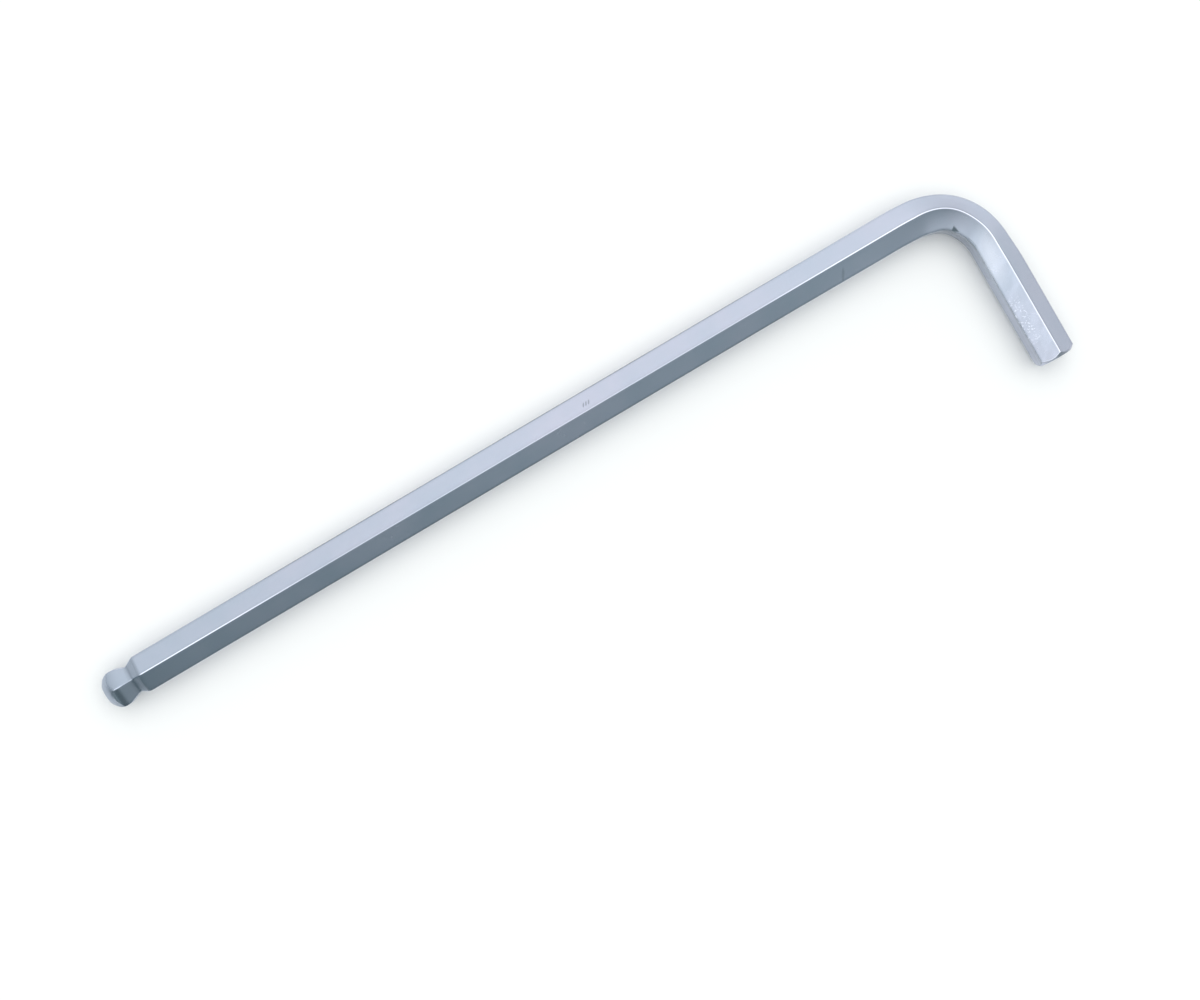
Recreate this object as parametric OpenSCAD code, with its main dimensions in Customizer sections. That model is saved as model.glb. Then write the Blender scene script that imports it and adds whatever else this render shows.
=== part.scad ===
// Long hex key with a ball end, bent cold from one hexagonal bar.
// It lies on one of its six long corners, with the plane of the bend level.
// The long arm runs along X with its ball end towards -X, and the short arm points to -Y.

/* [Bar] */
// Size of the key, measured across opposite flats of the bar
across_flats = 8; // [6:0.5:11]
// Radius of the six long corners of the bar
corner_radius = 0.2; // [0.1:0.05:0.6]

/* [Arms] */
// Length of the long arm, from the tip of the ball to the outer flat of the short arm
long_arm_length = 210.5; // [140:0.5:300]
// Length of the short arm, from the outer flat of the long arm to its end face
short_arm_length = 45; // [40:0.5:90]

/* [Bend] */
// Radius of the centre line through the bend
bend_radius = 12.8; // [9:0.1:20]

/* [Ball end] */
// How far the sharp corners of the ball stay inside the rounded corners of the bar
ball_relief = 0.02; // [0.01:0.01:0.1]
// Distance from the tip to the widest place of the ball
ball_crown = 2.8; // [2.4:0.1:3.4]
// Slope of the back of the ball towards the neck, in degrees from the axis
ball_back_angle = 22; // [16:1:30]
// Depth of the neck below each flat of the bar
neck_depth = 1; // [0.6:0.1:1.5]
// Radius in the bottom of the neck
neck_radius = 1; // [0.4:0.1:2]
// Slope from the neck up to the full bar, in degrees from the axis
shoulder_angle = 28; // [20:1:45]
// Diameter of the small flat face on the tip of the ball
tip_diameter = 4.3; // [3:0.1:5]
// Distance from the tip to where the turned nose runs out on the corners of the ball
nose_length = 2.2; // [1.6:0.1:2.6]
// Radius of the curved outline of the nose
nose_radius = 8; // [4:0.5:12]

/* [Plain end] */
// Depth of the turned chamfer of the short arm, from each flat in to the end face
end_chamfer_depth = 0.3; // [0.1:0.1:1]
// Slope of that chamfer, in degrees from the axis
end_chamfer_angle = 45; // [25:1:60]

/* [Hidden] */
$fn = 96;
corner_facets = 5;
flat_count = 6;
flat_step = 360 / flat_count;
opposite_pairs = flat_count / 2;
quarter_turn = 90;

// Unit vector at an angle, counted from straight up towards the right
function towards(angle) = [sin(angle), cos(angle)];

// Half sizes of the bar: to its flats, to the centres of its rounded corners and over the corners
half_flats = across_flats / 2;
corner_offset = (half_flats - corner_radius) / cos(flat_step / 2);
half_corners = corner_offset + corner_radius;

// Straight lengths of the two arms on either side of the bend
long_straight = long_arm_length - half_flats - bend_radius;
short_straight = short_arm_length - half_flats - bend_radius;

// Ball end: x along the axis from the tip, and half sizes of the milled flats
ball_radius = (half_corners - ball_relief) * cos(flat_step / 2);
half_neck = half_flats - neck_depth;
neck_circle_height = half_neck + neck_radius;
back_start = [ball_crown, 0] + ball_radius * towards(ball_back_angle);
back_foot_height = neck_circle_height - neck_radius * cos(ball_back_angle);
back_foot_x = back_start.x + (back_start.y - back_foot_height) / tan(ball_back_angle);
neck_x = back_foot_x + neck_radius * sin(ball_back_angle);
shoulder_foot_x = neck_x + neck_radius * sin(shoulder_angle);
shoulder_foot_height = neck_circle_height - neck_radius * cos(shoulder_angle);
shoulder_x = shoulder_foot_x + (half_flats - shoulder_foot_height) / tan(shoulder_angle);

// Nose of the ball: one arc from the edge of the tip to the corners, and the arc's centre
tip_edge = [0, tip_diameter / 2];
nose_end = [nose_length, half_corners];
nose_chord = nose_end - tip_edge;
nose_rise = sqrt(pow(nose_radius, 2) - pow(norm(nose_chord) / 2, 2));
nose_centre = (tip_edge + nose_end) / 2 + nose_rise * [nose_chord.y, -nose_chord.x] / norm(nose_chord);

// Plain end: radius of the end face, and length of the chamfer on the corners of the bar
end_face_radius = half_flats - end_chamfer_depth;
chamfer_length = (half_corners - end_face_radius) / tan(end_chamfer_angle);

// How far each cut runs past the bar, and the radius that every cut reaches out to
overcut = 1;
cut_reach = half_corners + overcut;

// Section of the bar: a flat to either side, rounded corners, one corner straight up
module bar_section() {
    polygon([
        for (k = [0:flat_count - 1], side = [-0.5:1 / corner_facets:0.5])
            corner_offset * towards(k * flat_step)
            + corner_radius * towards((k + side) * flat_step)
    ]);
}

// Straight bar of the given length, along +X from the origin
module straight_bar(length) {
    rotate([90, 0, 90])
        linear_extrude(height = length)
            bar_section();
}

// Bar bent through a quarter turn to the right, from the origin
module bend() {
    translate([0, -bend_radius, 0])
        rotate_extrude(angle = quarter_turn)
            translate([bend_radius, 0])
                bar_section();
}

// Outline that one opposite pair of flats is milled to, along +X from the tip
module milled_outline() {
    translate([ball_crown, 0])
        circle(r = ball_radius);
    difference() {
        polygon([
            [ball_crown, 0],
            back_start,
            [back_foot_x, back_foot_height],
            [shoulder_foot_x, shoulder_foot_height],
            [shoulder_x, half_flats],
            [shoulder_x + overcut, half_flats],
            [shoulder_x + overcut, -half_flats],
            [shoulder_x, -half_flats],
            [shoulder_foot_x, -shoulder_foot_height],
            [back_foot_x, -back_foot_height],
            [back_start.x, -back_start.y]
        ]);
        for (side = [-1, 1])
            translate([neck_x, side * neck_circle_height])
                circle(r = neck_radius);
    }
}

// What the milling takes off the opposite pair of flats that face +Y and -Y
module milling_cut() {
    linear_extrude(height = 2 * cut_reach, center = true)
        difference() {
            translate([-overcut, -cut_reach])
                square([shoulder_x + overcut, 2 * cut_reach]);
            milled_outline();
        }
}

// What the lathe takes off the corners of the ball to round its nose
module nose_cut() {
    rotate([0, 90, 0])
        rotate_extrude()
            difference() {
                translate([0, -overcut])
                    square([cut_reach, nose_length + overcut]);
                translate([nose_centre.y, nose_centre.x])
                    circle(r = nose_radius);
            }
}

// What the lathe takes off the corners at the plain end, whose face is at the origin facing -X
module chamfer_cut() {
    rotate([0, 90, 0])
        difference() {
            translate([0, 0, -overcut])
                cylinder(h = chamfer_length + overcut, r = cut_reach);
            translate([0, 0, -overcut])
                cylinder(
                    h = chamfer_length + overcut,
                    r1 = end_face_radius - overcut * tan(end_chamfer_angle),
                    r2 = half_corners
                );
        }
}

// Long arm along +X, with the tip of its ball at the origin
module long_arm() {
    difference() {
        straight_bar(long_straight);
        for (k = [0:opposite_pairs - 1])
            rotate([k * flat_step, 0, 0])
                milling_cut();
        nose_cut();
    }
}

// Short arm along +X, with its plain end at the origin
module short_arm() {
    difference() {
        straight_bar(short_straight);
        chamfer_cut();
    }
}

// The key, centred over the origin, with its lowest corner on the ground
module hex_key() {
    color([0.72, 0.76, 0.82])
        translate([
            long_arm_length / 2 - half_flats - bend_radius,
            short_arm_length / 2 - half_flats,
            half_corners
        ]) {
            translate([-long_straight, 0, 0])
                long_arm();
            bend();
            translate([bend_radius, -bend_radius - short_straight, 0])
                rotate([0, 0, 90])
                    short_arm();
        }
}

hex_key();
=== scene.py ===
"""Looks of the long hex key with a ball end: satin chrome on a drawn and bent hexagonal bar."""

import math
from types import SimpleNamespace

import bmesh
import bpy
from mathutils import Matrix, Vector


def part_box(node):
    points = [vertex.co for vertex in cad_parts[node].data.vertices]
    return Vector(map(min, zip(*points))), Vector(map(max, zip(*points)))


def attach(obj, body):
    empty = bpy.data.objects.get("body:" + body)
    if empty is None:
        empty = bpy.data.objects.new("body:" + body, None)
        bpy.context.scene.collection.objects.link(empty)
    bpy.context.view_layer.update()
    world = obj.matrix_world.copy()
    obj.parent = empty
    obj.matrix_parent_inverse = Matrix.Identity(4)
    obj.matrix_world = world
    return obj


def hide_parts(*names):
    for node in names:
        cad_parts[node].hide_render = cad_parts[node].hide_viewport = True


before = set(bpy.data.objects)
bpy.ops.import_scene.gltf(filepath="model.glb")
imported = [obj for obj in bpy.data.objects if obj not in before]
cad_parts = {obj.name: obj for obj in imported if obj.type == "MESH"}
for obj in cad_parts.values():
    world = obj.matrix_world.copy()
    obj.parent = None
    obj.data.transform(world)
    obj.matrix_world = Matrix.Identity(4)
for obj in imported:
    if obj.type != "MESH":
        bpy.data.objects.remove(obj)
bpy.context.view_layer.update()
key_low, key_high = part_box("hex_key")

# Every size is in metres
MM = 0.001


def mm(*lengths):
    """Lengths given in millimetres."""
    return tuple(length * MM for length in lengths)


# Bar: half its size across the flats, the radius of its six long corners, and what follows for
# its half size over sharp and over rounded corners. The last two are the faces round each corner
# and the cuts across each flat
HALF_FLATS = 4 * MM
CORNER_RADIUS = 0.2 * MM
FLAT_COUNT = 6
FLAT_STEP = math.tau / FLAT_COUNT
HALF_SHARP = HALF_FLATS / math.cos(FLAT_STEP / 2)
HALF_CORNERS = (HALF_FLATS - CORNER_RADIUS) / math.cos(FLAT_STEP / 2) + CORNER_RADIUS
CORNER_RUN = CORNER_RADIUS * math.tan(FLAT_STEP / 2)
CORNER_START = math.hypot(HALF_FLATS, HALF_SHARP / 2 - CORNER_RUN)
CORNER_FACETS = 6
FLAT_CUTS = 11

# Bend: its centre line, with the tip and the plain end taken from the frame
BEND_RADIUS = 12.8 * MM
BEND_STEPS = 64
TIP_X = key_low.x
END_Y = key_low.y
AXIS_Y = key_high.y - HALF_FLATS
AXIS_Z = (key_low.z + key_high.z) / 2
SHORT_AXIS_X = key_high.x - HALF_FLATS
BEND_START_X = SHORT_AXIS_X - BEND_RADIUS
BEND_CENTRE = Vector((BEND_START_X, AXIS_Y - BEND_RADIUS, AXIS_Z))
LONG_STRAIGHT = BEND_START_X - TIP_X
BEND_LENGTH = BEND_RADIUS * math.pi / 2
SHORT_STRAIGHT = BEND_CENTRE.y - END_Y
WHOLE_BAR = LONG_STRAIGHT + BEND_LENGTH + SHORT_STRAIGHT

# Ball end, along the axis from the tip. Its corners keep a share of the bar's rounding
CROWN = 2.8 * MM
BALL_RELIEF = 0.02 * MM
BALL_RADIUS = (HALF_CORNERS - BALL_RELIEF) * math.cos(FLAT_STEP / 2)
BALL_CORNER_SHARE = 0.9
BACK_ANGLE = math.radians(22)
NECK_HALF = 3 * MM
NECK_RADIUS = 1 * MM
SHOULDER_ANGLE = math.radians(28)
TIP_RADIUS = 2.15 * MM
NOSE_LENGTH = 2.2 * MM
NOSE_RADIUS = 8 * MM

# How often the search for the edge of the turned nose halves its range
NOSE_HALVINGS = 40

# How softly nose and shoulder pass into the milled flats, and how far the flats of the ball sit
# towards the inside of the bend
NOSE_BLEND = 0.55 * MM
SHOULDER_BLEND = 0.25 * MM
SHOULDER_RUN = SHOULDER_BLEND / math.tan(SHOULDER_ANGLE)
BALL_SHIFT = 0.2 * MM

# Plain end: radius of its face
END_FACE_RADIUS = 3.7 * MM

# How far from each end the rings are drawn that later lie on its turned surface, and how far the
# rings behind the chamfer move with it
NOSE_DRAWN = 1.6 * MM
CHAMFER_DRAWN = 0.5 * MM
CHAMFER_STRETCH = 2 * MM

# How close the rings lie on either side of an edge that stays crisp, the play in a comparison,
# how close points are merged, and the rings that close an end, as shares of its radius
CRISP = 0.03 * MM
ROUNDING = CRISP / 10
SAME_PLACE = CRISP / 30
CLOSING_RINGS = (0.8, 0.4)

# How the metal moved when the bar was bent cold, in millimetres: distance from the start of the
# bend, and the push away from the bend's centre at the outer flat, the ridge and the inner flat
OUTER_FLOW = [(-5, 0), (5, -0.49), (16.5, -0.52), (27, 0)]
RIDGE_FLOW = [(-3, 0), (0, -0.12), (8, 0.28), (15, -0.05), (20, -0.1), (26, 0)]
INNER_FLOW = [(-40, 0), (-6, -0.18), (3, -0.47), (9.5, -0.04), (14, -0.1), (21, 0)]

# Colours of the metal: its cool and warm tints, and what darker and lighter places turn to. Then
# how far the clouds lean to the cool tint, and the roughness of the plain satin
COOL_TINT = (0.565, 0.65, 0.78, 1)
WARM_TINT = (0.69, 0.693, 0.83, 1)
DARK_TINT = (0.14, 0.175, 0.205, 1)
LIGHT_TINT = (0.86, 0.89, 1.0, 1)
COOLNESS = 0.53
SATIN_ROUGHNESS = 0.21

# Bands with a look of their own. Four values are where a band begins, is full, starts to fade and
# is gone. Two values are where it starts to change and has changed. These lie along the bar,
# from the tip
# Of these bands, the low nose carries a painted reflection, and the nose flank, the crown line and
# the lower ball carry painted shade
LOW_NOSE = mm(0.9, 1.4, 1.4, 2.3)
NOSE_FLANK = mm(0.2, 1.5)
CROWN_LINE = mm(1.9, 2.5, 2.8, 3.7)
LOWER_BALL = mm(1.6, 2.3, 8, 20)
BALL_HALF = mm(20, 100)
# Stretch of the ridge where its painted highlight gives way to painted shade
SHADED_RIDGE = mm(20, 55, 150, 178)
WARMER_HALF = mm(60, 140)
INNER_BEND = mm(180, 196, 211, 216)
OUTER_BEND = mm(192, 199.5, 201.5, 210)
DIE_STRETCH = mm(197, 202, 214, 226)
SPECK_STRETCH = mm(224, 229, 234, 239)
SHORT_ARM = (LONG_STRAIGHT + 8 * MM, LONG_STRAIGHT + 22 * MM)

# These lie from the axis towards the outside of the bend
INNER_SIDE = mm(-0.3, 0)
NOSE_FLANK_SIDE = mm(-3.0, -1.9)
SLOPE_SIDE = mm(-3.6, -1.5)
DIE_SIDE = mm(-3.75, -3.35)
CHAMFER_TOP = mm(-1.5, -0.3, 1, 3.5)

# This lies across the inner top flat, from the ridge
SPECK_SIDE = mm(-2.2, -1.6)

# These lie above the axis
TOP_FLATS = mm(2.1, 2.4)
UPPER_HALF = mm(0, 1)

# How wide the passage is into the nose, out of the groove of the neck, beside a corner and onto a
# side flat, and how far the rim of the chamfer reaches
NOSE_EDGE = 0.3 * MM
GROOVE_EDGE = 0.3 * MM
CORNER_EDGE = 0.3 * MM
SIDE_EDGE = 0.2 * MM
CHAMFER_RIM = mm(0.25, 0.1)

# Levels of a pattern between which it passes from nothing to full
SIDE_LINE_LEVELS = (0.42, 0.62)
PATCH_LEVELS = (0.35, 0.65)
WORN_LEVELS = (0.46, 0.62)
SPECK_LEVELS = (0.60, 0.63)
DIE_LINE_LEVELS = (0.5, 0.6)

# The pace at which the cutter lines change along the ball and round it, and how the patches on the
# short arm are turned and drawn out
CUTTER_PACE = (1, 0.05, 0.05)
PATCH_TURN = (0, 0, 0.7)
PATCH_STRETCH = (1, 3, 1)

# Marks on the two top flats: distance from the tip, and from the ridge towards the bend's outside,
# then half the length and half the width, and how far each leans
TICK_COUNT = 3
TICK_START = mm(113.8, 1.6)
TICK_STEP = 0.62 * MM
TICK_SIZE = mm(0.2, 0.5)
TICK_LEAN = 0.49
SMUDGE = mm(174.9, -3.1)
SMUDGE_SIZE = mm(0.35, 1.3)
SMUDGE_LEAN = 0.4
PRESS_MARK = mm(203.7, -4.5)
PRESS_SHADE_SIZE = mm(5, 4.5)
# Painted reflection of light on the inner top flat of the short arm, where the bend curves it
BEND_REFLECTION = mm(216.2, -2.4)
BEND_REFLECTION_SIZE = mm(4.2, 2.2)
BEND_REFLECTION_LEAN = -1.0

# The three sides of the press mark, in millimetres from its place, and how two of them lean
PRESS_BACK = (-0.2, 0.2)
PRESS_SLOPE = (0.8, 1.25)
PRESS_SLOPE_LEAN = 0.35
PRESS_FOOT = (-0.15, 0.1)
PRESS_FOOT_LEAN = -0.17

# Scratches: how far a pattern is drawn out into hairlines and how soft their edges are, then the
# turn, the scale and the share of the surface for each of two lots, and how much of them there is
# elsewhere, set against the inner flat of the short arm
HAIRLINE_STRETCH = (60, 1, 1)
HAIRLINE_EDGE = 0.05
HAIRLINES = [((0.3, 0.2, 0.7), 2300, 0.30), ((0.1, -0.4, -0.9), 1900, 0.29)]
WEAR_ELSEWHERE = 0.2

# Depth and strength of the relief that the lines and marks have
RELIEF_DEPTH = 0.02 * MM
RELIEF_STRENGTH = 0.06

# Soft light of the studio: all round from one side, and glows, each with its direction, how many
# degrees it spreads and its strength. They come from overhead, left, low left and near
SIDE_LIGHT = (0.56, 0.83, 0)
SIDE_STRENGTH = 1.055
GLOWS = [
    ((0, 0, 1), 60, 1.64),
    ((-0.64, -0.06, 0.77), 40, 0.17),
    ((-0.59, -0.75, 0.31), 28, 0.2),
    ((0.12, -0.9, 0.42), 32, 0.09),
]
DARKER_BY = 0.035
LIGHT_COLOUR = (0.95, 0.93, 0.92)
LIGHT_FILL = (-0.01, 0.05, 0.06)

# Floor under the key
FLOOR_SIZE = 6
FLOOR_COLOUR = (0.88, 0.88, 0.88)
FLOOR_ROUGHNESS = 0.6

# Camera, solved from the outline of both arms in the photograph
CAMERA_PLACE = (-0.03138, 0.01986, 0.41908)
CAMERA_TURN = (0.107, -5.257, -30.668)
CAMERA_LENS = 59.85
CAMERA_SENSOR = 36


def parts(geometry, kind):
    """The vertices, edges or faces among what an operator returns."""
    return [g for g in geometry if isinstance(g, kind)]


def draw_on(bm, rim, offset):
    """Draws the open rim of the bar on by an offset, and returns the new rim."""
    made = bmesh.ops.extrude_edge_only(bm, edges=rim)["geom"]
    fresh = set(parts(made, bmesh.types.BMVert))
    bmesh.ops.translate(bm, verts=list(fresh), vec=offset)
    return [e for e in parts(made, bmesh.types.BMEdge) if fresh.issuperset(e.verts)]


def bar_section(bm):
    """Rim of the bar at the tip: a hexagon with rounded corners, one of them straight up."""
    bmesh.ops.create_circle(bm, cap_ends=True, segments=FLAT_COUNT, radius=HALF_SHARP)
    bmesh.ops.bevel(
        bm, geom=bm.verts[:], offset=CORNER_RUN, offset_type="OFFSET",
        segments=CORNER_FACETS, profile=0.5, affect="VERTICES", material=-1,
    )
    bmesh.ops.delete(bm, geom=bm.faces[:], context="FACES_ONLY")
    flats = [e for e in bm.edges if e.calc_length() > HALF_FLATS / 2]
    bmesh.ops.subdivide_edges(bm, edges=flats, cuts=FLAT_CUTS)
    upright = Matrix(((0, 0, 1, 0), (1, 0, 0, 0), (0, 1, 0, 0), (0, 0, 0, 1)))
    bmesh.ops.transform(bm, matrix=upright, verts=bm.verts[:])
    bmesh.ops.translate(bm, verts=bm.verts[:], vec=(TIP_X, AXIS_Y, AXIS_Z))
    return bm.edges[:]


def spread(start, end, count):
    """Places from just past the start to the end, evenly."""
    return [start + (end - start) * (k + 1) / count for k in range(count)]


def back_of_ball():
    """Corner points of the milled outline: the back of the ball, the neck and the shoulder."""
    start = Vector((CROWN + BALL_RADIUS * math.sin(BACK_ANGLE), BALL_RADIUS * math.cos(BACK_ANGLE)))
    circle_height = NECK_HALF + NECK_RADIUS
    foot_height = circle_height - NECK_RADIUS * math.cos(BACK_ANGLE)
    foot_x = start.x + (start.y - foot_height) / math.tan(BACK_ANGLE)
    neck = Vector((foot_x + NECK_RADIUS * math.sin(BACK_ANGLE), circle_height))
    rise_x = neck.x + NECK_RADIUS * math.sin(SHOULDER_ANGLE)
    rise_height = circle_height - NECK_RADIUS * math.cos(SHOULDER_ANGLE)
    shoulder_x = rise_x + (HALF_FLATS - rise_height) / math.tan(SHOULDER_ANGLE)
    return start, Vector((foot_x, foot_height)), neck, Vector((rise_x, rise_height)), shoulder_x


BACK_START, BACK_FOOT, NECK_CENTRE, RISE_FOOT, SHOULDER_X = back_of_ball()


def milled_half(x):
    """Half size of the milled flats at a distance from the tip. The slope runs on past the bar."""
    if x < BACK_START.x:
        return math.sqrt(BALL_RADIUS ** 2 - (x - CROWN) ** 2)
    if x < BACK_FOOT.x:
        return BACK_START.y - (x - BACK_START.x) * math.tan(BACK_ANGLE)
    if x < RISE_FOOT.x:
        return NECK_CENTRE.y - math.sqrt(NECK_RADIUS ** 2 - (x - NECK_CENTRE.x) ** 2)
    return RISE_FOOT.y + (x - RISE_FOOT.x) * math.tan(SHOULDER_ANGLE)


def turned_nose():
    """Centre of the arc that the nose of the ball is turned to, from the tip and from the axis."""
    tip = Vector((0, TIP_RADIUS))
    end = Vector((NOSE_LENGTH, HALF_CORNERS))
    chord = end - tip
    rise = math.sqrt(NOSE_RADIUS ** 2 - (chord.length / 2) ** 2)
    return (tip + end) / 2 + rise * Vector((chord.y, -chord.x)) / chord.length


NOSE_CENTRE = turned_nose()


def nose_radius(x):
    """Radius of the turned nose at a distance from the tip."""
    return NOSE_CENTRE.y + math.sqrt(NOSE_RADIUS ** 2 - (x - NOSE_CENTRE.x) ** 2)


def sharpened(out):
    """A point of the section, with its corner drawn in to the crisper corner of the ball."""
    if out.length < CORNER_START - ROUNDING:
        return out
    turn = round(math.atan2(out.x, out.y) / FLAT_STEP) * FLAT_STEP
    corner = Vector((math.sin(turn), math.cos(turn))) * HALF_SHARP
    return corner + (out - corner) * BALL_CORNER_SHARE


def nose_edge(share):
    """Where the turned nose ends on the milled ball, for a line at a share of the half flats."""
    low, high = 0.0, CROWN
    for _ in range(NOSE_HALVINGS):
        middle = (low + high) / 2
        if share * milled_half(middle) > nose_radius(middle):
            low = middle
        else:
            high = middle
    return low


def passage(share):
    """A soft passage from 0 to 1."""
    t = max(0.0, min(1.0, share))
    return t * t * (3 - 2 * t)


def smooth_least(a, b, width):
    """The lesser of two sizes, with a rounded passage from one to the other."""
    share = max(0.0, min(1.0, 0.5 + (b - a) / (2 * width)))
    return b + (a - b) * share - width * share * (1 - share)


def mill_ball(bm):
    """Mills the ball and its neck on the six flats, turns its nose and softens its shoulder."""
    for v in bm.verts:
        drawn = v.co.x - TIP_X
        if drawn > SHOULDER_X + SHOULDER_RUN:
            continue
        bar = Vector((v.co.y - AXIS_Y, v.co.z - AXIS_Z))
        crisp = sharpened(bar)
        share = crisp.length / HALF_FLATS
        edge = nose_edge(share)
        if drawn <= NOSE_DRAWN:
            x = edge * drawn / NOSE_DRAWN
        elif drawn < CROWN:
            x = edge + (drawn - NOSE_DRAWN) * (CROWN - edge) / (CROWN - NOSE_DRAWN)
        else:
            x = drawn
        radius = share * milled_half(x)
        if drawn < CROWN:
            radius = smooth_least(radius, nose_radius(x), NOSE_BLEND)
        out = crisp.normalized() * smooth_least(radius, bar.length, SHOULDER_BLEND)
        v.co = (TIP_X + x, AXIS_Y + out.x, AXIS_Z + out.y)


def chamfer_end(bm):
    """Turns the chamfer on the plain end of the short arm."""
    for v in bm.verts:
        drawn = v.co.y - END_Y
        if v.co.x < BEND_START_X + BEND_RADIUS / 2 or drawn > CHAMFER_STRETCH:
            continue
        middle = Vector((SHORT_AXIS_X, AXIS_Z))
        out = Vector((v.co.x, v.co.z)) - middle
        edge = out.length - END_FACE_RADIUS
        if drawn <= CHAMFER_DRAWN:
            y = edge * drawn / CHAMFER_DRAWN
            out = out.normalized() * (END_FACE_RADIUS + y)
        else:
            share = (drawn - CHAMFER_DRAWN) / (CHAMFER_STRETCH - CHAMFER_DRAWN)
            y = edge + share * (CHAMFER_STRETCH - edge)
        v.co = (middle.x + out.x, END_Y + y, middle.y + out.y)


def on_straight_bar(co):
    """Where a point lay before the bar was bent: along it, towards the outside of the bend, and up.
    Also gives the direction of that outside."""
    from_centre = co - BEND_CENTRE
    up = co.z - AXIS_Z
    if from_centre.x < 0:
        return Vector((co.x - TIP_X, co.y - AXIS_Y, up)), Vector((0, 1, 0))
    if from_centre.y < 0:
        along = LONG_STRAIGHT + BEND_LENGTH - from_centre.y
        return Vector((along, from_centre.x - BEND_RADIUS, up)), Vector((1, 0, 0))
    outside = Vector((from_centre.x, from_centre.y, 0))
    along = LONG_STRAIGHT + BEND_RADIUS * math.atan2(from_centre.x, from_centre.y)
    return Vector((along, outside.length - BEND_RADIUS, up)), outside.normalized()


def flow(profile, place):
    """Push at a place along a profile of places and pushes, in millimetres, with soft turns."""
    if place <= profile[0][0] or place >= profile[-1][0]:
        return 0.0
    for (a, push_a), (b, push_b) in zip(profile, profile[1:]):
        if place <= b:
            return push_a + (push_b - push_a) * passage((place - a) / (b - a))


def let_metal_flow(bm):
    """Moves the flats and the ridge through the bend, as cold bending does, and the flats of the
    ball to one side. Each point keeps its place on the straight bar, which the finish follows."""
    straight = bm.verts.layers.float_vector.new("straight_bar")
    for v in bm.verts:
        place, outside = on_straight_bar(v.co)
        v[straight] = place
        along = (place.x - LONG_STRAIGHT) / MM
        side = max(-1.0, min(1.0, place.y / HALF_FLATS))
        push = (
            flow(INNER_FLOW, along) * side * (side - 1) / 2
            + flow(RIDGE_FLOW, along) * (1 - side * side)
            + flow(OUTER_FLOW, along) * side * (side + 1) / 2
        )
        on_ball = passage((RISE_FOOT.x - place.x) / (RISE_FOOT.x - BACK_FOOT.x))
        v.co += outside * (push * MM - BALL_SHIFT * on_ball * abs(side))


def close_end(bm, rim, middle, radius):
    """Closes an open round rim with a flat face, kept crisp at its edge."""
    for smaller in (radius - CRISP, *(share * radius for share in CLOSING_RINGS)):
        made = bmesh.ops.extrude_edge_only(bm, edges=rim)["geom"]
        fresh = parts(made, bmesh.types.BMVert)
        size = (smaller / radius,) * 3
        bmesh.ops.scale(bm, verts=fresh, vec=size, space=Matrix.Translation(-middle))
        rim = [e for e in parts(made, bmesh.types.BMEdge) if set(fresh).issuperset(e.verts)]
        radius = smaller
    bmesh.ops.edgeloop_fill(bm, edges=rim)


def draw_along(bm, rim, direction, stretches):
    """Draws the bar on in stretches, each given by its end and its count of rings."""
    start = drawn = 0.0
    for end, rings in stretches:
        for station in spread(start, end, rings):
            rim = draw_on(bm, rim, direction * (station - drawn))
            drawn = station
        start = end
    return rim


def draw_long_arm(bm, rim):
    """Draws the long arm, with its rings closest where the ball and the shoulder will be."""
    return draw_along(bm, rim, Vector((1, 0, 0)), [
        (CRISP, 1),
        (NOSE_DRAWN, 18),
        (CROWN, 12),
        (BACK_START.x, 10),
        (BACK_FOOT.x, 6),
        (RISE_FOOT.x, 12),
        (SHOULDER_X - SHOULDER_RUN, 5),
        (SHOULDER_X + SHOULDER_RUN, 12),
        (LONG_STRAIGHT, 100),
    ])


def draw_bend(bm, rim):
    """Draws the quarter turn of the bend."""
    turned = bmesh.ops.spin(
        bm, geom=rim, cent=BEND_CENTRE, axis=(0, 0, 1), angle=-math.pi / 2,
        steps=BEND_STEPS, use_merge=False, use_duplicate=False,
    )["geom_last"]
    return parts(turned, bmesh.types.BMEdge)


def draw_short_arm(bm, rim):
    """Draws the short arm, with its rings closest where the chamfer will be."""
    chamfer_edge = SHORT_STRAIGHT - CHAMFER_DRAWN
    return draw_along(bm, rim, Vector((0, -1, 0)), [
        (SHORT_STRAIGHT - CHAMFER_STRETCH, 20),
        (chamfer_edge - CRISP, 4),
        (chamfer_edge, 1),
        (chamfer_edge + CRISP, 1),
        (SHORT_STRAIGHT - CRISP, 3),
        (SHORT_STRAIGHT, 1),
    ])


def build_hex_key():
    """The whole key in one skin, drawn from the tip of the ball through the bend to the plain end."""
    bm = bmesh.new()
    tip_rim = bar_section(bm)
    end_rim = draw_short_arm(bm, draw_bend(bm, draw_long_arm(bm, tip_rim)))
    mill_ball(bm)
    chamfer_end(bm)
    close_end(bm, tip_rim, Vector((TIP_X, AXIS_Y, AXIS_Z)), TIP_RADIUS)
    close_end(bm, end_rim, Vector((SHORT_AXIS_X, END_Y, AXIS_Z)), END_FACE_RADIUS)
    bmesh.ops.remove_doubles(bm, verts=bm.verts[:], dist=SAME_PLACE)
    bmesh.ops.recalc_face_normals(bm, faces=bm.faces[:])
    let_metal_flow(bm)
    mesh = bpy.data.meshes.new("hex_key_skin")
    bm.to_mesh(mesh)
    bm.free()
    for polygon in mesh.polygons:
        polygon.use_smooth = True
    key = bpy.data.objects.new("hex_key_skin", mesh)
    bpy.context.scene.collection.objects.link(key)
    return key


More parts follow.
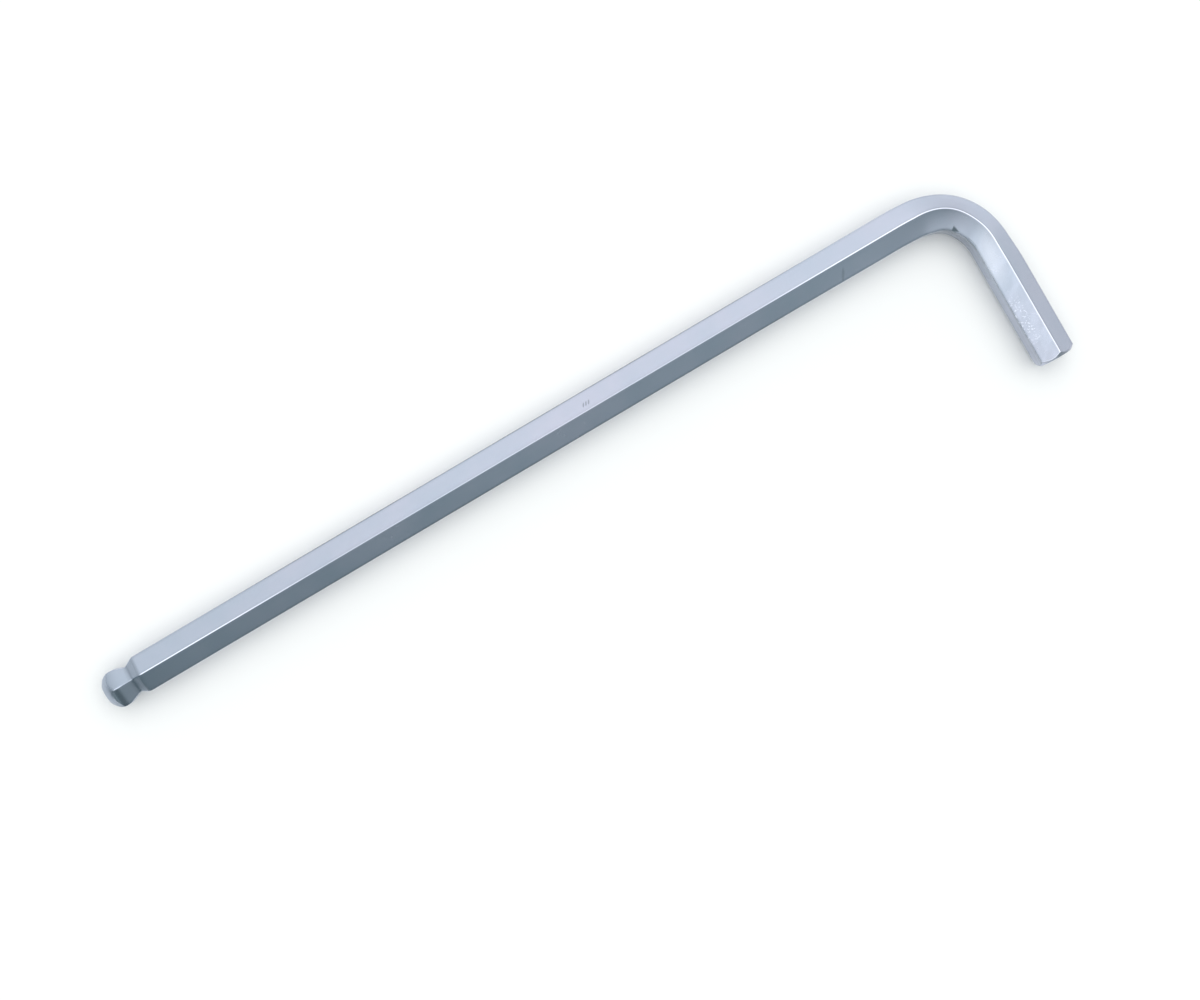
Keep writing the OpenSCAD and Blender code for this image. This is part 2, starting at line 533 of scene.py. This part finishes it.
class Value:
    """One output of a shader node. Sums and products of values are written as Python."""

    def __init__(self, tree, socket=None):
        self.tree = tree
        self.socket = socket

    def node(self, kind, inputs, output=0, **settings):
        """Adds a node with its settings and inputs, and returns one of its outputs."""
        made = self.tree.nodes.new("ShaderNode" + kind)
        for name, setting in settings.items():
            setattr(made, name, setting)
        for place, given in inputs.items():
            if isinstance(given, Value):
                self.tree.links.new(given.socket, made.inputs[place])
            else:
                made.inputs[place].default_value = given
        return Value(self.tree, made.outputs[output])

    def math(self, operation, *given):
        return self.node("Math", dict(enumerate(given)), operation=operation)

    def __add__(self, other):
        return self.math("ADD", self, other)

    def __sub__(self, other):
        return self.math("SUBTRACT", self, other)

    def __rsub__(self, other):
        return self.math("SUBTRACT", other, self)

    def __mul__(self, other):
        return self.math("MULTIPLY", self, other)

    def __truediv__(self, other):
        return self.math("DIVIDE", self, other)

    __radd__ = __add__
    __rmul__ = __mul__

    def root(self):
        return self.math("SQRT", self)

    def most(self, other):
        return self.math("MAXIMUM", self, other)

    def over(self, low, high):
        """0 below low and 1 above high, with a soft passage between them."""
        limits = {0: self, 1: low, 2: high}
        return self.node("MapRange", limits, interpolation_type="SMOOTHSTEP")

    def under(self, low, high):
        """1 below low and 0 above high, with a soft passage between them."""
        return 1 - self.over(low, high)

    def scaled(self, scale):
        """A vector with each of its parts scaled."""
        return self.node("VectorMath", {0: self, 1: scale}, operation="MULTIPLY")

    def turned(self, turn, scale):
        """A vector whose patterns are drawn out by a scale and then turned."""
        settings = {"Vector": self, "Rotation": turn, "Scale": scale}
        return self.node("Mapping", settings, vector_type="TEXTURE")

    def noise(self, scale, detail, roughness=0.5):
        settings = {"Vector": self, "Scale": scale, "Detail": detail, "Roughness": roughness}
        return self.node("TexNoise", settings)

    def tint(self, low, high):
        """The colour low where this value is 0, and high where it is 1."""
        return self.node("Mix", {0: self, 6: low, 7: high}, output=2, data_type="RGBA")


def new_material(name):
    """An empty material, as its own tree of nodes and its shader."""
    material = bpy.data.materials.new(name)
    material.use_nodes = True
    return material, Value(material.node_tree), material.node_tree.nodes["Principled BSDF"]


def band(value, limits):
    """1 over a band of a value: it begins, is full, starts to fade and is gone at the limits."""
    begins, full, fades, gone = limits
    return value.over(begins, full) * value.under(fades, gone)


def weighted(pairs):
    """The sum of several values, each with its weight before it."""
    return sum(weight * value for weight, value in pairs)


def lines_along(at, share, scale, detail, roughness=0.5):
    """Lines along the bar: a pattern that changes along it at only a share of its pace across."""
    return at.straight.scaled((share, 1, 1)).noise(scale, detail, roughness)


def places(shade):
    """Where a point of the skin is: in the object, and on the bar before it was bent."""
    at = SimpleNamespace()
    at.place = shade.node("TexCoord", {}, output=3)
    at.straight = shade.node("Attribute", {}, output=1, attribute_name="straight_bar")
    at.along, at.outward, at.upward = [
        shade.node("SeparateXYZ", {0: at.straight}, output=k) for k in range(3)
    ]
    at.across = at.outward / math.cos(FLAT_STEP / 2)
    at.reach = (at.outward * at.outward + at.upward * at.upward).root()
    at.from_end = WHOLE_BAR - at.along
    return at


def find_flats(at):
    """Adds where the plain bar, its corners and its different flats are."""
    at.bar = at.along.over(SHOULDER_X - SHOULDER_RUN, SHOULDER_X + SHOULDER_RUN)
    at.corner = at.bar * at.reach.over(CORNER_START - CRISP, CORNER_START)
    # A thin band of painted shade beside each rounded corner
    near_corner = at.reach.over(CORNER_START - CORNER_EDGE, CORNER_START - CRISP)
    at.beside_corner = at.bar * near_corner - at.corner
    at.inner_side = at.outward.under(*INNER_SIDE)
    at.outer_side = 1 - at.inner_side
    at.top_flats = at.upward.over(*TOP_FLATS)
    to_side = at.outward.math("ABSOLUTE", at.outward)
    at.side_flats = at.bar * to_side.over(HALF_FLATS - SIDE_EDGE, HALF_FLATS - CRISP)


def find_ball(at):
    """Adds where the turned nose, the inner side of the ball, its neck and the slope are."""
    drop = at.along - NOSE_CENTRE.x
    rise = at.reach - NOSE_CENTRE.y
    on_arc = (drop * drop + rise * rise).root().over(NOSE_RADIUS - NOSE_EDGE, NOSE_RADIUS - CRISP)
    at.nose = on_arc * at.along.under(NOSE_LENGTH, CROWN)
    # A stripe of painted shade on the flank of the nose
    at.nose_flank = at.nose * at.along.over(*NOSE_FLANK) * at.outward.under(*NOSE_FLANK_SIDE)
    # The low side of the nose, which gets a painted reflection
    at.low_nose = at.inner_side * band(at.along, LOW_NOSE) * (1 - at.nose)
    # The inner side of the ball, which gets painted shade
    at.lower_ball = at.inner_side * band(at.along, LOWER_BALL)
    # A band across the crown of the ball, where a dark reflection is painted
    at.crown_line = at.inner_side * band(at.along, CROWN_LINE)
    at.groove = band(
        at.along, (BACK_FOOT.x - GROOVE_EDGE, BACK_FOOT.x, RISE_FOOT.x, RISE_FOOT.x + GROOVE_EDGE)
    )
    slope = band(at.along, (NECK_CENTRE.x, RISE_FOOT.x, SHOULDER_X - SHOULDER_RUN, SHOULDER_X))
    at.inner_slope = slope * at.outward.under(*SLOPE_SIDE)


def find_ends(at):
    """Adds where the chamfer, its rim and all turned faces of the key are."""
    slope = at.reach - at.from_end
    rim, rim_end = CHAMFER_RIM
    at.chamfer = slope.over(END_FACE_RADIUS - 2 * CRISP, END_FACE_RADIUS - CRISP)
    at.chamfer_rim = slope.over(END_FACE_RADIUS - rim, END_FACE_RADIUS - rim_end) - at.chamfer
    at.chamfer_top = at.chamfer * band(at.outward, CHAMFER_TOP)
    end_faces = at.along.under(0, CRISP).most(at.from_end.under(0, CRISP))
    at.turned = at.nose.most(at.chamfer).most(end_faces)


def find_arms(at):
    """Adds where each arm and the bend have a shade of their own."""
    at.ball_half = at.along.under(*BALL_HALF)
    at.warmer_half = at.outer_side * at.along.over(*WARMER_HALF)
    # Painted shade on the ridge, where its painted highlight is dimmer
    at.dull_ridge = at.corner * band(at.along, SHADED_RIDGE)
    at.inner_bend = at.inner_side * band(at.along, INNER_BEND)
    at.outer_bend = at.outer_side * band(at.along, OUTER_BEND)
    at.short_arm = at.along.over(*SHORT_ARM)
    at.short_face = at.short_arm * at.top_flats * at.inner_side
    # The outer side of the short arm, which gets painted shade
    at.short_outer = at.short_arm * at.outer_side


def add_patterns(at, shade):
    """Adds the lines that drawing, milling and turning left, and the clouds of the plating."""
    at.draw_lines = lines_along(at, share=0.025, scale=2800, detail=3, roughness=0.6)
    at.broad_lines = lines_along(at, share=0.04, scale=620, detail=2)
    side_lines = lines_along(at, share=0.03, scale=1100, detail=3, roughness=0.6)
    at.side_lines = at.side_flats * side_lines.over(*SIDE_LINE_LEVELS)
    round_ball = at.straight.scaled(CUTTER_PACE)
    at.cutter_lines = (1 - at.bar) * round_ball.noise(scale=5200, detail=2, roughness=0.6)
    rings = {"W": at.along + at.reach, "Scale": 9000, "Detail": 1.0}
    at.lathe_lines = at.turned * shade.node("TexNoise", rings, noise_dimensions="1D")
    at.grain = at.place.noise(scale=5200, detail=2, roughness=0.6)
    at.clouds = at.place.noise(scale=75, detail=3, roughness=0.55)
    at.wide_clouds = at.place.noise(scale=28, detail=1)
    at.mottle = at.place.noise(scale=340, detail=3, roughness=0.6)
    slanted = at.straight.turned(PATCH_TURN, PATCH_STRETCH)
    at.slanted_patches = slanted.noise(scale=420, detail=2).over(*PATCH_LEVELS)


def hairlines(place, turn, scale, share):
    """Fine straight scratches in one direction, over a share of the surface."""
    drawn_out = place.turned(turn, HAIRLINE_STRETCH).noise(scale, detail=1)
    return drawn_out.over(1 - share, 1 - share + HAIRLINE_EDGE)


def add_wear(at):
    """Adds the fine scratches, most of them on the short arm, and painted glints as bright specks
    near its end.
    """
    first, second = [hairlines(at.place, *lot) for lot in HAIRLINES]
    worn = at.place.noise(scale=90, detail=2).over(*WORN_LEVELS)
    wear = WEAR_ELSEWHERE + (1 - WEAR_ELSEWHERE) * at.short_face
    at.scratches = first.most(second) * worn * wear
    # Bright specks of painted glint near the end of the short arm
    speck_zone = at.short_face * band(at.along, SPECK_STRETCH) * at.across.under(*SPECK_SIDE)
    at.specks = speck_zone * at.place.noise(scale=2500, detail=1).over(*SPECK_LEVELS)


def oval(at, centre, size, lean=0.0, softness=0.3):
    """An oval with a soft edge on the top flats. At a softness of 1 it fades from its middle on."""
    half_length, half_width = size
    x = (at.along - centre[0] - lean * (at.across - centre[1])) / half_length
    y = (at.across - centre[1]) / half_width
    return at.top_flats * (x * x + y * y).root().under(1 - softness, 1 + softness)


def press_mark(at):
    """The small three-cornered mark that the bending die left at the inner corner of the bend."""
    x = (at.along - PRESS_MARK[0]) / MM
    y = (at.across - PRESS_MARK[1]) / MM
    back = x.over(*PRESS_BACK)
    slope = (y + PRESS_SLOPE_LEAN * x).under(*PRESS_SLOPE)
    foot = (y + PRESS_FOOT_LEAN * x).over(*PRESS_FOOT)
    return at.top_flats * back * slope * foot


def add_marks(at):
    """Adds the ticks and the smudge on the long arm, what the bending die left, and a painted
    reflection near the bend.
    """
    at.ticks = sum(
        oval(at, (TICK_START[0] + k * TICK_STEP, TICK_START[1]), TICK_SIZE, TICK_LEAN)
        for k in range(TICK_COUNT)
    )
    at.smudge = oval(at, SMUDGE, SMUDGE_SIZE, SMUDGE_LEAN)
    at.dent = press_mark(at)
    at.press_shade = oval(at, PRESS_MARK, PRESS_SHADE_SIZE, softness=1.0)
    # painted reflection where the bent flat catches the light
    at.polish = oval(at, BEND_REFLECTION, BEND_REFLECTION_SIZE, BEND_REFLECTION_LEAN, softness=1.0)
    at.die_zone = band(at.along, DIE_STRETCH) * at.outward.under(*DIE_SIDE)
    die_lines = lines_along(at, share=0.12, scale=2300, detail=3, roughness=0.6)
    at.die_lines = at.die_zone * at.upward.over(*UPPER_HALF) * die_lines.over(*DIE_LINE_LEVELS)


def colour_of(at):
    """Colour of the metal: its clouds of tint, then how much darker and lighter each place is, much
    of it painted shade, painted highlights and painted reflections.
    """
    warmth = weighted([(1.1, at.clouds), (0.9, at.wide_clouds), (0.28, at.warmer_half)]) - COOLNESS
    darker = weighted([
        (0.05, at.mottle),
        # painted shade in a thin line beside the corners
        (0.10, at.beside_corner),
        # painted shade that dims the ridge's painted highlight
        (0.45, at.dull_ridge),
        (0.08, at.ball_half),
        # painted shade on the upright side flats
        (0.25, at.side_flats),
        (0.22, at.side_lines),
        (0.12, 1 - at.bar),
        # painted shade in the groove of the neck
        (0.10, at.groove),
        # painted shade on the inner side of the ball
        (0.13, at.lower_ball),
        # painted dark reflection across the crown of the ball
        (0.30, at.crown_line),
        # painted shade on the turned nose, and a darker painted stripe of shade on its flank
        (0.22, at.nose),
        (0.17, at.nose_flank),
        (0.11, at.inner_bend),
        (0.18, at.outer_bend),
        # painted shade that takes the highlight off the corners of the short arm
        (0.18, at.corner * at.short_arm),
        # painted shade on the outer side of the short arm
        (0.09, at.short_outer),
        (0.04, at.short_face),
        (0.12, at.short_face * at.slanted_patches),
        (0.22, at.chamfer),
        (0.40, at.chamfer_top),
        (0.40, at.ticks),
        (0.20, at.smudge),
        (0.70, at.dent),
        (0.16, at.press_shade),
        (0.12, at.die_zone),
        (0.30, at.die_lines),
    ])
    lighter = weighted([
        # painted highlight along the rounded corners, left off where the ridge is shaded
        (0.30, at.corner - at.dull_ridge),
        (0.25, at.inner_slope),
        # painted reflection on the low side of the nose
        (0.60, at.low_nose),
        # painted highlight along the rim of the chamfer
        (0.80, at.chamfer_rim * at.short_face),
        # painted reflection near the bend
        (0.50, at.polish),
        # painted glints
        (0.60, at.specks),
        (0.03, at.scratches),
        (0.15, at.scratches * at.short_face),
    ])
    tone = darker.tint(warmth.tint(COOL_TINT, WARM_TINT), DARK_TINT)
    return lighter.tint(tone, LIGHT_TINT)


def roughness_of(at):
    """Roughness of the metal: bright satin, rougher where it was turned, scratched or pressed."""
    return SATIN_ROUGHNESS + weighted([
        (0.06, at.clouds),
        (0.03, at.draw_lines),
        (0.05, at.scratches),
        (0.10, at.turned),
        (0.20, at.dent),
        (0.10, at.die_lines),
        (-0.04, at.corner),
    ])


def relief_of(at):
    """Height of the fine relief, as shares of its depth."""
    return weighted([
        (0.25, at.draw_lines),
        (0.30, at.broad_lines),
        (0.10, at.grain),
        (0.50, at.cutter_lines),
        (0.50, at.lathe_lines),
        (-0.40, at.scratches),
        (-2.00, at.ticks),
        (-4.00, at.dent),
        (-1.00, at.die_lines),
    ])


def satin_chrome():
    """Satin chrome on drawn bar: draw lines, cutter and lathe marks, soft clouds, fine wear, and
    painted shade, highlights and reflections.
    """
    material, shade, shader = new_material("satin_chrome")
    at = places(shade)
    find_flats(at)
    find_ball(at)
    find_ends(at)
    find_arms(at)
    add_patterns(at, shade)
    add_wear(at)
    add_marks(at)
    relief = {"Strength": RELIEF_STRENGTH, "Distance": RELIEF_DEPTH, "Height": relief_of(at)}
    links = material.node_tree.links
    links.new(colour_of(at).socket, shader.inputs["Base Color"])
    links.new(roughness_of(at).socket, shader.inputs["Roughness"])
    links.new(shade.node("Bump", relief).socket, shader.inputs["Normal"])
    shader.inputs["Metallic"].default_value = 1.0
    return material


def plain(name, colour, roughness):
    """A plain material for what is staged round the key."""
    material, _, shader = new_material(name)
    shader.inputs["Base Color"].default_value = (*colour, 1)
    shader.inputs["Roughness"].default_value = roughness
    return material


def panel(name, size, material):
    """A square sheet, centred over the origin."""
    bm = bmesh.new()
    bmesh.ops.create_grid(bm, x_segments=1, y_segments=1, size=size / 2)
    mesh = bpy.data.meshes.new(name)
    bm.to_mesh(mesh)
    bm.free()
    mesh.materials.append(material)
    sheet = bpy.data.objects.new(name, mesh)
    bpy.context.scene.collection.objects.link(sheet)


def add_studio_light():
    """Soft light from the far right and from overhead, with weak glows from the left and near."""
    world = bpy.data.worlds.new("studio")
    world.use_nodes = True
    shade = Value(world.node_tree)
    towards = shade.node("TexCoord", {})

    def facing(direction):
        return shade.node("VectorMath", {0: towards, 1: direction}, output=1, operation="DOT_PRODUCT")

    brightness = SIDE_STRENGTH * (0.5 + 0.5 * facing(SIDE_LIGHT)) - DARKER_BY
    for direction, spread_angle, strength in GLOWS:
        edge = math.cos(math.radians(spread_angle))
        brightness = brightness + strength * facing(Vector(direction).normalized()).over(edge, 1.0)
    colour = shade.node(
        "VectorMath", {0: brightness, 1: LIGHT_COLOUR, 2: LIGHT_FILL}, operation="MULTIPLY_ADD"
    )
    background = world.node_tree.nodes["Background"]
    world.node_tree.links.new(colour.socket, background.inputs["Color"])
    bpy.context.scene.world = world


def add_camera():
    """The camera above the key, where the photograph was taken from."""
    data = bpy.data.cameras.new("camera")
    data.sensor_width = CAMERA_SENSOR
    data.lens = CAMERA_LENS
    camera = bpy.data.objects.new("camera", data)
    camera.location = CAMERA_PLACE
    camera.rotation_euler = [math.radians(a) for a in CAMERA_TURN]
    bpy.context.scene.collection.objects.link(camera)
    bpy.context.scene.camera = camera


add_camera()
key = build_hex_key()
key.data.materials.append(satin_chrome())
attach(key, "root")
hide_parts("hex_key")

panel("floor", FLOOR_SIZE, plain("floor", FLOOR_COLOUR, FLOOR_ROUGHNESS))

add_studio_light()
bpy.context.scene.view_settings.view_transform = "Standard"
